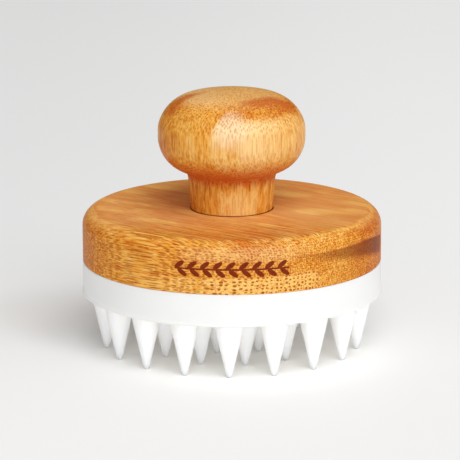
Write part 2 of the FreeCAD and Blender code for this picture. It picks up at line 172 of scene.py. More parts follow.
def fill(bm, outer, holes):
    """A flat face inside one circle of vertices and outside others."""
    edges = []
    for circle in [outer] + holes:
        for pair in zip(circle, turned(circle)):
            edges.append(bm.edges.get(pair) or bm.edges.new(pair))
    bmesh.ops.triangle_fill(bm, edges=edges, use_beauty=True)


def arc(centre, radius, start, end):
    """Points of an arc in the radius and height plane, angles in radians from outwards."""
    count = max(3, int(abs(end - start) / ARC_STEP) + 1)
    points = []
    for step in range(count + 1):
        angle = start + (end - start) * step / count
        points.append((centre[0] + radius * math.cos(angle), centre[1] + radius * math.sin(angle)))
    return points


def straight(start, end, count):
    """Evenly spaced points between two points, without the ends."""
    points = []
    for step in range(1, count):
        share = step / count
        points.append((start[0] + (end[0] - start[0]) * share, start[1] + (end[1] - start[1]) * share))
    return points


def tidy(points):
    """Drops points that repeat the one before."""
    kept = [points[0]]
    for point in points[1:]:
        if math.dist(point, kept[-1]) > SAME_POINT:
            kept.append(point)
    return kept


def add_object(name, data):
    """A new object in the scene."""
    made = bpy.data.objects.new(name, data)
    scene.collection.objects.link(made)
    return made


def add_mesh(name, bm):
    """A new object in the scene from a finished bmesh."""
    mesh = bpy.data.meshes.new(name)
    bm.to_mesh(mesh)
    bm.free()
    return add_object(name, mesh)


def make_piece(name, bm, body, replaced):
    """Turns a finished bmesh into a shown piece that rides on a body."""
    bmesh.ops.recalc_face_normals(bm, faces=bm.faces[:])
    for face in bm.faces:
        face.smooth = True
    for edge in bm.edges:
        if len(edge.link_faces) == 2 and edge.calc_face_angle() > SHARP_ANGLE:
            edge.smooth = False
    piece = add_mesh(name, bm)
    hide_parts(*replaced)
    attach(piece, body)
    return piece


# -------------------- turned pieces


def direction(first, second):
    """Angle of the line from one point of the section to another."""
    return math.atan2(second[1] - first[1], second[0] - first[0])


def crossing(first, first_radius, second, second_radius):
    """Where two circles of the section cross, on the left as seen from the first centre."""
    distance = math.dist(first, second)
    along = (distance ** 2 + first_radius ** 2 - second_radius ** 2) / (2 * distance)
    aside = math.sqrt(first_radius ** 2 - along ** 2)
    unit = ((second[0] - first[0]) / distance, (second[1] - first[1]) / distance)
    return (first[0] + unit[0] * along - unit[1] * aside, first[1] + unit[1] * along + unit[0] * aside)


def knob_outside():
    """The knob's section from its foot up to the middle of the dome."""
    foot = knob_low.z
    top = knob_high.z
    belt_low = top - BELT_DROP
    belt_high = belt_low + BELT_HEIGHT
    under = (KNOB_RADIUS - UNDERSIDE_RADIUS, belt_low)
    shoulder = (KNOB_RADIUS - SHOULDER_RADIUS, belt_high)
    dome = (0.0, top - DOME_RADIUS)
    haunch = crossing(dome, DOME_RADIUS - HAUNCH_RADIUS, shoulder, HAUNCH_RADIUS - SHOULDER_RADIUS)

    # The fillet's centre keeps its distance from the tapered neck and from the underside arc.
    along = (math.sin(NECK_TAPER), math.cos(NECK_TAPER))
    outward = (math.cos(NECK_TAPER), -math.sin(NECK_TAPER))
    start = (NECK_RADIUS + outward[0] * NECK_FILLET, foot + outward[1] * NECK_FILLET)
    gap = (under[0] - start[0], under[1] - start[1])
    climb = gap[0] * along[0] + gap[1] * along[1]
    aside = math.hypot(*gap) ** 2 - climb ** 2
    climb -= math.sqrt((UNDERSIDE_RADIUS + NECK_FILLET) ** 2 - aside)
    fillet = (start[0] + along[0] * climb, start[1] + along[1] * climb)
    neck_top = (NECK_RADIUS + along[0] * climb, foot + along[1] * climb)

    to_fillet = direction(under, fillet)
    from_fillet = direction(fillet, under)
    shoulder_end = direction(haunch, shoulder)
    haunch_end = direction(dome, haunch)
    neck_side = direction(fillet, neck_top)
    points = [(NECK_RADIUS, foot)]
    points += straight((NECK_RADIUS, foot), neck_top, 12)
    points += arc(fillet, NECK_FILLET, neck_side % (2 * math.pi), from_fillet)
    points += arc(under, UNDERSIDE_RADIUS, to_fillet, 0.0)
    points += straight((KNOB_RADIUS, belt_low), (KNOB_RADIUS, belt_high), 3)
    points += arc(shoulder, SHOULDER_RADIUS, 0.0, shoulder_end)
    points += arc(haunch, HAUNCH_RADIUS, shoulder_end, haunch_end)
    points += arc(dome, DOME_RADIUS, haunch_end, math.pi / 2)[:-1]
    points.append((0.0, top))
    return tidy(points)


def make_knob():
    """The turned knob with its blind hole for the insert."""
    bm = bmesh.new()
    tip_top = screw_high.z + TIP_HOLE_REACH
    inside = [
        (0.0, tip_top),
        (TIP_HOLE_RADIUS, tip_top),
        (TIP_HOLE_RADIUS, insert_high.z),
        (INSERT_HOLE_RADIUS, insert_high.z),
        (INSERT_HOLE_RADIUS, knob_low.z),
    ]
    skin(bm, inside + knob_outside())
    return make_piece("knob_bamboo", bm, "handle", ["knob"])


def screw_places():
    """Centres of the wood screws, evenly round the axis."""
    angles = [2 * math.pi * number / WOOD_SCREW_COUNT for number in range(WOOD_SCREW_COUNT)]
    radius = WOOD_SCREW_CIRCLE_RADIUS
    return [(radius * math.cos(angle), radius * math.sin(angle)) for angle in angles]


def make_disc():
    """The disc: rounded top edge, seat for the knob, counterbore and pilot holes."""
    bm = bmesh.new()
    top = disc_high.z
    bottom = disc_low.z
    seat = knob_low.z
    seat_radius = NECK_RADIUS + SEAT_GAP
    foot_centre = (DISC_RADIUS - DISC_FOOT_ROUND, bottom + DISC_FOOT_ROUND)
    edge_centre = (DISC_RADIUS - DISC_EDGE_ROUND, top - DISC_EDGE_ROUND)
    rim_centre = (seat_radius + SEAT_EDGE_ROUND, top - SEAT_EDGE_ROUND)
    outline = arc(foot_centre, DISC_FOOT_ROUND, -math.pi / 2, 0.0)
    outline += straight(outline[-1], (DISC_RADIUS, top - DISC_EDGE_ROUND), 8)
    outline += arc(edge_centre, DISC_EDGE_ROUND, 0.0, math.pi / 2)
    outline += straight(outline[-1], (rim_centre[0], top), 10)
    outline += arc(rim_centre, SEAT_EDGE_ROUND, math.pi / 2, math.pi)
    outline += [
        (seat_radius, seat),
        (SCREW_HOLE_RADIUS, seat),
        (SCREW_HOLE_RADIUS, washer_high.z),
        (ACCESS_RADIUS, washer_high.z),
        (ACCESS_RADIUS, bottom),
    ]
    outer, inner = skin(bm, tidy(outline))
    holes = [inner]
    for place in screw_places():
        pilot_top = bottom + PILOT_DEPTH
        pilot = [(PILOT_RADIUS, bottom), (PILOT_RADIUS, pilot_top), (0.0, pilot_top)]
        mouth, _ = skin(bm, pilot, place, HOLE_SEGMENTS)
        holes.append(mouth)
    fill(bm, outer, holes)
    return make_piece("disc_bamboo", bm, "handle", ["disc"])


def make_collar():
    """The moulded collar with its rounded lip and countersunk screw holes."""
    bm = bmesh.new()
    top = collar_high.z
    bottom = collar_low.z
    web = pad_high.z
    inside = COLLAR_RADIUS - COLLAR_WALL
    lip = COLLAR_LIP_ROUND
    wall = COLLAR_RADIUS - COLLAR_LIP_STEP
    lip_top = bottom + COLLAR_LIP_HEIGHT
    outline = [(inside, web)]
    outline += straight((inside, web), (inside, bottom + lip / 2), 6)
    outline += arc((inside + lip / 2, bottom + lip / 2), lip / 2, math.pi, 1.5 * math.pi)
    outline += arc((COLLAR_RADIUS - lip, bottom + lip), lip, -math.pi / 2, 0.0)
    outline += [
        (COLLAR_RADIUS, lip_top - COLLAR_LIP_STEP),
        (wall + COLLAR_CREASE_WIDTH, lip_top),
        (wall, lip_top + COLLAR_CREASE_HEIGHT),
    ]
    outline += straight(outline[-1], (wall, top - lip), 8)
    outline += arc((wall - lip, top - lip), lip, 0.0, math.pi / 2)
    lower_rim, upper_rim = skin(bm, tidy(outline))
    lower_access, upper_access = skin(bm, [(ACCESS_RADIUS, web), (ACCESS_RADIUS, top)])
    lower_holes = [lower_access]
    upper_holes = [upper_access]
    for place in screw_places():
        hole = [(SINK_RADIUS, web), (THROUGH_RADIUS, web + SINK_DEPTH), (THROUGH_RADIUS, top)]
        mouth, exit_circle = skin(bm, hole, place, HOLE_SEGMENTS)
        lower_holes.append(mouth)
        upper_holes.append(exit_circle)
    fill(bm, lower_rim, lower_holes)
    fill(bm, upper_rim, upper_holes)
    return make_piece("collar_shell", bm, "handle", ["collar"])


# -------------------- bristle pad


def bristle_outline(flare):
    """One bristle's section from its root on the pad's face down to its blunt tip.

    It flares at the root, and its side swells most near the root.
    """
    face = pad_low.z
    root = bristle_high.x
    slope = (root - BRISTLE_TIP_RADIUS) / face
    nub = BRISTLE_TIP_RADIUS + slope * BRISTLE_NUB_HEIGHT
    points = []
    for step in range(FLARE_STEPS):
        share = step / FLARE_STEPS
        drop = flare * FLARE_HEIGHT_SHARE * share ** FLARE_BEND
        points.append((root + flare * (1 - share) ** 2, face - drop))
    side_top = face - flare * FLARE_HEIGHT_SHARE
    for step in range(SIDE_STEPS + 1):
        share = step / SIDE_STEPS
        radius = root + (nub - root) * share
        swell = BRISTLE_BULGE * math.sin(math.pi * share ** BULGE_LEAN)
        points.append((radius + swell, side_top + (BRISTLE_NUB_HEIGHT - side_top) * share))
    points.append((nub - BRISTLE_NUB_STEP, BRISTLE_NUB_HEIGHT - BRISTLE_NUB_STEP))
    round_size = BRISTLE_TIP_RADIUS - BRISTLE_FLAT_RADIUS
    points += arc((BRISTLE_FLAT_RADIUS, round_size), round_size, 0.0, -math.pi / 2)
    points.append((0.0, 0.0))
    return tidy(points)


def bristle_places():
    """Name, centre and distance from the axis of every bristle."""
    places = [("bristle_centre", (0.0, 0.0), 0.0)]
    for ring_name, count in RINGS.items():
        for number in range(count):
            name = "bristle_%s_%02d" % (ring_name, number + 1)
            low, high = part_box(name)
            centre = ((low.x + high.x) / 2, (low.y + high.y) / 2)
            places.append((name, centre, math.hypot(*centre)))
    return places


def make_bristle_pad():
    """The moulded pad: every bristle grows out of its face in one skin."""
    bm = bmesh.new()
    face = pad_low.z
    top = pad_high.z
    membrane = plate_low.z
    pocket_radius = PLATE_RADIUS + POCKET_GAP
    lip_radius = pocket_radius - PAD_LIP_WIDTH
    lip_bottom = top - PAD_LIP_THICKNESS
    edge_centre = (PAD_RADIUS - PAD_EDGE_ROUND, face + PAD_EDGE_ROUND)
    outline = arc(edge_centre, PAD_EDGE_ROUND, -math.pi / 2, 0.0)
    outline += [
        (PAD_RADIUS, top - PAD_EDGE_ROUND),
        (PAD_RADIUS - PAD_EDGE_ROUND, top),
        (lip_radius, top),
        (lip_radius, lip_bottom),
        (pocket_radius, max(lip_bottom, plate_high.z)),
        (pocket_radius, membrane),
        (0.0, membrane),
    ]
    outer, _ = skin(bm, tidy(outline))
    roots = []
    replaced = ["bristle_pad"]
    for name, centre, distance in bristle_places():
        room = PAD_RADIUS - PAD_EDGE_ROUND - distance - bristle_high.x
        flare = max(BRISTLE_LEAST_FLARE, min(BRISTLE_ROOT_FLARE, room - BRISTLE_ROOM))
        root, _ = skin(bm, bristle_outline(flare), centre, BRISTLE_SEGMENTS)
        roots.append(root)
        replaced.append(name)
    fill(bm, outer, roots)
    return make_piece("silicone_pad", bm, "pad", replaced)


# -------------------- shader helpers


class Graph:
    """Short calls for building one material's nodes."""

    def __init__(self, name):
        self.material = bpy.data.materials.new(name)
        self.material.use_nodes = True
        self.tree = self.material.node_tree
        self.tree.nodes.clear()
        self.output = self.tree.nodes.new("ShaderNodeOutputMaterial")
        self.shader = self.tree.nodes.new("ShaderNodeBsdfPrincipled")
        self.tree.links.new(self.shader.outputs["BSDF"], self.output.inputs["Surface"])

    def node(self, kind, **settings):
        made = self.tree.nodes.new(kind)
        for key, value in settings.items():
            setattr(made, key, value)
        return made

    def put(self, socket, value):
        """Sets a socket from a number, a colour or another node's output."""
        if isinstance(value, bpy.types.NodeSocket):
            self.tree.links.new(value, socket)
        elif isinstance(value, (tuple, list)) and len(value) == 3 and socket.type == "RGBA":
            socket.default_value = (*value, 1.0)
        else:
            socket.default_value = value

    def fed(self, kind, values, **settings):
        """A new node with its first inputs set."""
        made = self.node(kind, **settings)
        for socket, value in zip(made.inputs, values):
            self.put(socket, value)
        return made

    def math(self, operation, first, second=0.0):
        return self.fed("ShaderNodeMath", (first, second), operation=operation).outputs[0]

    def add(self, first, second):
        return self.math("ADD", first, second)

    def minus(self, first, second):
        return self.math("SUBTRACT", first, second)

    def times(self, first, second):
        return self.math("MULTIPLY", first, second)

    def square(self, value):
        return self.math("MULTIPLY", value, value)

    def vector(self, operation, first, second):
        """A number made from two vectors, such as their distance."""
        return self.fed("ShaderNodeVectorMath", (first, second), operation=operation).outputs["Value"]

    def combine(self, x, y, z=0.0):
        return self.fed("ShaderNodeCombineXYZ", (x, y, z)).outputs[0]

    def separate(self, vector):
        return self.fed("ShaderNodeSeparateXYZ", (vector,)).outputs

    def millimetres(self):
        """The surface point in the brush's own frame, in millimetres."""
        place = self.node("ShaderNodeTexCoord").outputs["Object"]
        made = self.fed("ShaderNodeVectorMath", (place,), operation="SCALE")
        made.inputs["Scale"].default_value = 1 / MM
        return made.outputs["Vector"]

    def noise(self, vector, scale, detail=3.0, roughness=0.5):
        """A cloudy pattern: its plain value."""
        return self.noise_node(vector, scale, detail, roughness).outputs["Fac"]

    def noise_node(self, vector, scale, detail, roughness=0.5):
        made = self.node("ShaderNodeTexNoise")
        self.put(made.inputs["Vector"], vector)
        for name, value in (("Scale", scale), ("Detail", detail), ("Roughness", roughness)):
            made.inputs[name].default_value = value
        return made

    def cells(self, vector, scale, randomness):
        """Distance to the nearest cell point of a flat cell pattern, and that cell's own colour."""
        made = self.node("ShaderNodeTexVoronoi", voronoi_dimensions="2D", feature="F1")
        self.put(made.inputs["Vector"], vector)
        made.inputs["Scale"].default_value = scale
        made.inputs["Randomness"].default_value = randomness
        return made.outputs["Distance"], made.outputs["Color"]

    def step(self, value, start, end):
        """0 below start, 1 above end, smooth between; start may be above end."""
        values = (value, start, end)
        return self.fed("ShaderNodeMapRange", values, interpolation_type="SMOOTHSTEP").outputs["Result"]

    def remap(self, value, low, high, new_low, new_high):
        """A value from one range put into another, held within it."""
        return self.fed("ShaderNodeMapRange", (value, low, high, new_low, new_high)).outputs["Result"]

    def mix(self, share, first, second, blend="MIX"):
        """Colours mixed by share."""
        made = self.node("ShaderNodeMix", data_type="RGBA", blend_type=blend)
        for number, value in ((0, share), (6, first), (7, second)):
            self.put(made.inputs[number], value)
        return made.outputs[2]

    def blend(self, share, first, second):
        """Plain numbers mixed by share."""
        made = self.node("ShaderNodeMix", data_type="FLOAT")
        for number, value in ((0, share), (2, first), (3, second)):
            self.put(made.inputs[number], value)
        return made.outputs[0]

    def random(self, vector):
        """A chance value between 0 and 1 for each place."""
        return self.fed("ShaderNodeTexWhiteNoise", (vector,), noise_dimensions="3D").outputs["Value"]

    def bump(self, height, depth):
        made = self.node("ShaderNodeBump")
        made.inputs["Strength"].default_value = 1.0
        made.inputs["Distance"].default_value = depth
        self.put(made.inputs["Height"], height)
        self.put(self.shader.inputs["Normal"], made.outputs["Normal"])

    def set(self, name, value):
        self.put(self.shader.inputs[name], value)


def colour(red, green, blue):
    """Linear colour of a display colour given as 0 to 255."""
    linear = []
    for part in (red, green, blue):
        share = part / 255
        linear.append(share / 12.92 if share <= 0.04045 else ((share + 0.055) / 1.055) ** 2.4)
    return tuple(linear)


# -------------------- patterns

# The middle part of a noise value's run, which holds most of the surface.
NOISE_RANGE = (0.3, 0.7)


def uneven_roughness(graph, scale, detail, smooth, rough):
    """Roughness that varies a little over the surface."""
    wear_noise = graph.noise(graph.millimetres(), scale, detail)
    graph.set("Roughness", graph.remap(wear_noise, *NOISE_RANGE, smooth, rough))


def coordinates(graph, place, spots):
    """The coordinates x, y and z, and the distance from each named spot."""
    axes = dict(zip("xyz", graph.separate(place)))
    for name, spot in spots.items():
        axes[name] = graph.vector("DISTANCE", place, spot)
    return axes


def make_regions(graph, axes, table):
    """Every named region as a value from 0 outside it to 1 inside.

    A region is a row of ranges: a coordinate, where the region starts and where it is full.
    """
    regions = {}
    for name, ranges in table.items():
        share = 1.0
        for axis, start, full in ranges:
            share = graph.times(graph.step(axes[axis], start, full), share)
        regions[name] = share
    return regions


def weigh(graph, start, parts, shares):
    """A starting value and each named part times its share, added up."""
    for name, share in shares.items():
        start = graph.add(start, graph.times(parts[name], share))
    return start


def tinted(graph, base, tint, *parts, share=1.0):
    """The base colour mixed towards a tint, by a share, where all the parts are 1."""
    for part in parts:
        share = graph.times(part, share)
    return graph.mix(share, base, tint)


# -------------------- bamboo

IVORY = colour(255, 230, 196)
CREAM = colour(255, 220, 160)
PALE = colour(250, 202, 116)
HONEY = colour(238, 166, 64)
AMBER = colour(208, 116, 34)
RUST = colour(204, 72, 36)
ORANGE = colour(206, 104, 36)
BARK = colour(142, 68, 16)
BURNT = colour(120, 30, 12)

# The run of tones; its first and last stop come first, since a new run has just those two.
TONE_STOPS = ((0.0, RUST), (1.0, PALE), (0.28, AMBER), (0.62, HONEY))

# What a fibre bundle leaves of the colour around it: fine ones, and the large ones in the pale strip.
FINE_MARK_TINT = (0.56, 0.34, 0.16)
COARSE_MARK_TINT = (0.48, 0.26, 0.12)
BUNDLE_SIZE_SPREAD = (0.75, 1.2)
BUNDLE_DEPTH = 0.04 * MM
DASH_SHIFT = 90.0
DASH_EDGE = 0.08
FIBRE_SWAY_MM = 0.8
GRAIN_RELIEF_SHARE = 0.35
UP = (0.0, 0.0, 1.0)


def stretch(graph, fibres, along, across):
    """A texture point that changes at one rate along the fibres and at another across them."""
    run, side, rise = fibres
    return graph.combine(graph.times(run, along), graph.times(side, across), graph.times(rise, across))


def fibre_space(graph, place, run_way, side_way, rise_way):
    """Coordinates along the fibres and two ways across them, with the fibres swaying a little."""
    run, side, rise = (graph.vector("DOT_PRODUCT", place, way) for way in (run_way, side_way, rise_way))
    drift = graph.noise_node(stretch(graph, (run, side, rise), along=0.045, across=0.10), 1.0, 1.0)
    parts = graph.separate(drift.outputs["Color"])
    side = graph.add(side, graph.times(graph.minus(parts[0], 0.5), FIBRE_SWAY_MM))
    rise = graph.add(rise, graph.times(graph.minus(parts[1], 0.5), FIBRE_SWAY_MM))
    return run, side, rise


def bundles(graph, fibres, spacing, size, softness, evenness, length, gap_share):
    """Fibre bundles along the bamboo: 1 inside one, 0 between them.

    Across the fibres they are dots on a nearly even grid, and along them dashes of about a length.
    """
    run, side, rise = fibres
    distance, tint = graph.cells(graph.combine(side, rise), 1 / spacing, evenness)
    lottery = graph.separate(tint)[0]
    smallest, largest = BUNDLE_SIZE_SPREAD
    edge = graph.remap(lottery, 0.0, 1.0, size * smallest, size * largest)
    dot = graph.step(distance, edge, graph.minus(edge, softness))
    dash_place = graph.combine(graph.times(run, 1 / length), graph.times(lottery, DASH_SHIFT))
    dash_noise = graph.noise(dash_place, 1.0, 1.0)
    return graph.times(dot, graph.step(dash_noise, gap_share - DASH_EDGE, gap_share + DASH_EDGE))


def contrast(graph, value, spread):
    """A noise value stretched to run from -1 to 1 about its middle."""
    return graph.remap(value, 0.5 - spread, 0.5 + spread, -1.0, 1.0)


def lines(graph, fibres, along, across, detail, spread, roughness=0.5):
    """Pale and dark lines along the fibres, from -1 to 1."""
    place = stretch(graph, fibres, along, across)
    return contrast(graph, graph.noise(place, 1.0, detail, roughness), spread)


def bamboo_tone(graph, tone):
    """Bamboo colour from rust at 0 through amber and honey to pale at 1."""
    ramp = graph.node("ShaderNodeValToRGB")
    graph.put(ramp.inputs["Fac"], tone)
    elements = ramp.color_ramp.elements
    for number, (position, shade) in enumerate(TONE_STOPS):
        element = elements[number] if number < len(elements) else elements.new(position)
        element.position = position
        element.color = (*shade, 1.0)
    return ramp.outputs["Color"]


def finish_bamboo(graph, base, marks, grain, gloss):
    """Satin lacquer over the coloured bamboo, with the bundles slightly sunk."""
    graph.set("Base Color", base)
    uneven_roughness(graph, scale=0.22, detail=2.0, smooth=0.34, rough=0.46)
    graph.set("Specular IOR Level", gloss)
    graph.set("Coat Weight", gloss)
    graph.set("Coat Roughness", 0.2)
    graph.bump(graph.minus(graph.times(grain, GRAIN_RELIEF_SHARE), marks), BUNDLE_DEPTH)
    return graph.material


# -------------------- the disc's bamboo

# Fibre direction of the disc's strips in plan, and the direction across them.
DISC_ALONG = (0.8, -0.6, 0.0)
DISC_ACROSS = (0.6, 0.8, 0.0)
PLY_HEIGHT_MM = 4.57
PLY_SLIP_MM = 7.7
STRIP_WIDTH_MM = 21.0
STRIP_START_MM = 13.4
STRIP_LOTTERY = 3.7
GLUE_EDGE_MM = (0.14, 0.05)
LOW_PLY_SLANT = -0.03

# Spots on the disc's top.
DISC_TOP_MM = disc_high.z / MM
DISC_SPOTS = {
    "left of neck": (-15.0, 9.0, DISC_TOP_MM),
    "right of neck": (18.0, -4.0, DISC_TOP_MM),
    "front edge": (5.0, -34.0, DISC_TOP_MM),
}

# Where things lie on the disc, in millimetres. Run is along the fibres, side and level across them;
# the other names are distances from the spots, or are made in disc_coordinates.
ON_TOP = ("z", 34.6, 37.6)
LOW_PLY = ("level", 5.7, 5.1)
DISC_REGIONS = {
    "top": (ON_TOP,),
    "calm top": (ON_TOP, ("y", -30.0, -12.0)),
    "back top": (ON_TOP, ("y", 4.0, 22.0)),
    # A painted shadow of the knob lies on the top, left of the neck.
    "by neck left": (ON_TOP, ("left of neck", 20.0, 5.0)),
    "by neck right": (ON_TOP, ("right of neck", 12.0, 3.0)),
    "front stain": (("front edge", 12.0, 3.0),),
    "front left": (("front left", 2.0, -20.0),),
    "right end": (("right end", 8.0, 26.0), ("z", 37.6, 36.0)),
    "cut ends": (("run", 18.0, 30.0),),
    "left rim": (("x", -31.0, -39.0),),
    "right rim": (("x", 26.0, 37.0), ("z", 34.0, 36.0)),
    # Where the painted highlight along the front of the rounded edge lies.
    "rim": (("z", 31.5, 33.5), ("z", 36.5, 35.0), ("run", 9.0, 17.0), ("run", 38.0, 33.0)),
    "low band": (LOW_PLY, ("run", -6.0, 8.0), ("x", 26.0, 14.0)),
    "pale strip": (LOW_PLY, ("side", -13.2, -13.5), ("run", 14.0, 20.0)),
    "wedge": (("below wedge top", -0.1, 0.12), ("above wedge bottom", -0.7, 1.3),
              ("side", -24.0, -10.0), ("side", 19.2, 17.2)),
}

# How far each part shifts the disc's tone.
DISC_TONE_START = 0.525
DISC_TONE_SHARES = {
    "strip": 0.08, "grain": 1.0, "bands": 0.07, "threads": 0.10, "cut ends": 0.08, "right end": -0.28,
    # The top's lift on the next line is a painted sheen.
    "pale strip": 0.12, "low band": 0.22, "top": 0.12, "left rim": -0.16, "right rim": -0.16,
    # The darkening by the neck's left on the next line is a painted shadow of the knob.
    "by neck left": -0.27, "by neck right": 0.18, "back top": -0.1,
}
GRAIN_SHARE_SIDE = 0.27
GRAIN_SHARE_TOP = 0.19
FINE_SHARE_TOP = 0.25
FINE_SHARE_ALONG = (-25.0, 5.0, 0.42, 0.75)
STREAK_EDGE = (0.54, 0.64)
STAIN_SHARES = (0.75, 0.25)

# The wedge of bark-side bamboo between the two upper plies: places and slopes of its two faces.
WEDGE_TOP_MM = 33.1
WEDGE_BEND_SIDE_MM = 5.0
WEDGE_TOP_FALL = 0.10
WEDGE_BOTTOM_MM = 32.3
WEDGE_TIP_SIDE_MM = -21.4
WEDGE_BOTTOM_FALL = 0.14
WEDGE_DEPTH_ALONG = (-20.0, 8.0, 0.35, 1.0)
WEDGE_STREAKS = (0.92, 0.16)

# The burnt-in band of leaves on the disc's front, in millimetres along and up the rim.
SPRIG_HEIGHT_MM = 30.4
SPRIG_PITCH_MM = 3.36
SPRIG_LEAVES = 9
SPRIG_STAGGER_MM = 0.35
LEAF_HALF_LENGTH_MM = 1.52
LEAF_HALF_WIDTH_MM = 0.66
LEAF_LIFT_MM = 1.05
LEAF_LEAN = math.radians(36)
LEAF_EDGE = (1.1, 0.8)
STEM_EDGE_MM = (0.30, 0.18)
STEM_END_MM = 0.2


def sprig_mask(graph, place):
    """A burnt-in band of plain leaves on the front of the disc."""
    x, y, z = graph.separate(place)
    turn = graph.math("ARCTAN2", x, graph.times(y, -1.0))
    along = graph.times(turn, DISC_RADIUS / MM)
    height = graph.minus(z, SPRIG_HEIGHT_MM)
    front = graph.math("GREATER_THAN", graph.times(y, -1.0), DISC_RADIUS / MM / 2)
    reach = SPRIG_PITCH_MM * SPRIG_LEAVES / 2
    rows = []
    for row in (1.0, -1.0):
        shift = graph.add(along, reach + SPRIG_STAGGER_MM * row)
        near = graph.minus(graph.math("FLOORED_MODULO", shift, SPRIG_PITCH_MM), SPRIG_PITCH_MM / 2)
        number = graph.math("FLOOR", graph.times(shift, 1 / SPRIG_PITCH_MM))
        present = graph.times(graph.math("GREATER_THAN", number, -0.5),
                              graph.math("LESS_THAN", number, SPRIG_LEAVES - 0.5))
        lift = graph.minus(height, LEAF_LIFT_MM * row)
        lean = LEAF_LEAN * row
        long_way = graph.add(graph.times(near, math.cos(lean)), graph.times(lift, math.sin(lean)))
        short_way = graph.minus(graph.times(lift, math.cos(lean)), graph.times(near, math.sin(lean)))
        leaf = graph.add(graph.square(graph.times(long_way, 1 / LEAF_HALF_LENGTH_MM)),
                         graph.square(graph.times(short_way, 1 / LEAF_HALF_WIDTH_MM)))
        rows.append(graph.times(graph.step(leaf, *LEAF_EDGE), present))
    stem = graph.times(graph.step(graph.math("ABSOLUTE", height), *STEM_EDGE_MM),
                       graph.step(graph.math("ABSOLUTE", along), reach + STEM_END_MM, reach - STEM_END_MM))
    shape = graph.math("MAXIMUM", graph.math("MAXIMUM", rows[0], rows[1]), stem)
    return graph.times(shape, front)


def strips(graph, side, level):
    """Numbers the glued strips; returns each strip's lottery value and the glue lines."""
    ply_place = graph.times(level, 1 / PLY_HEIGHT_MM)
    ply = graph.math("FLOOR", ply_place)
    from_start = graph.add(graph.add(side, STRIP_START_MM), graph.times(ply, PLY_SLIP_MM))
    strip_place = graph.times(from_start, 1 / STRIP_WIDTH_MM)
    lottery = graph.random(graph.combine(graph.math("FLOOR", strip_place), ply, STRIP_LOTTERY))
    glue_parts = []
    for position, size in ((strip_place, STRIP_WIDTH_MM), (ply_place, PLY_HEIGHT_MM)):
        off_middle = graph.math("ABSOLUTE", graph.minus(graph.math("FRACT", position), 0.5))
        start, full = (0.5 - edge / size for edge in GLUE_EDGE_MM)
        glue_parts.append(graph.step(off_middle, start, full))
    return lottery, graph.math("MAXIMUM", *glue_parts)


def disc_coordinates(graph, place, side, rise, level):
    """What the disc's regions are measured in, except the way along the fibres."""
    axes = coordinates(graph, place, DISC_SPOTS)
    past_bend = graph.math("MAXIMUM", graph.minus(side, WEDGE_BEND_SIDE_MM), 0.0)
    wedge_top = graph.minus(WEDGE_TOP_MM, graph.times(past_bend, WEDGE_TOP_FALL))
    past_tip = graph.minus(side, WEDGE_TIP_SIDE_MM)
    wedge_bottom = graph.minus(WEDGE_BOTTOM_MM, graph.times(past_tip, WEDGE_BOTTOM_FALL))
    axes["side"] = side
    axes["level"] = graph.add(level, graph.times(side, LOW_PLY_SLANT))
    axes["right end"] = graph.add(axes["x"], graph.times(axes["y"], 0.6))
    axes["front left"] = graph.add(graph.times(axes["x"], 0.7), axes["y"])
    axes["below wedge top"] = graph.minus(wedge_top, rise)
    axes["above wedge bottom"] = graph.minus(rise, wedge_bottom)
    return axes


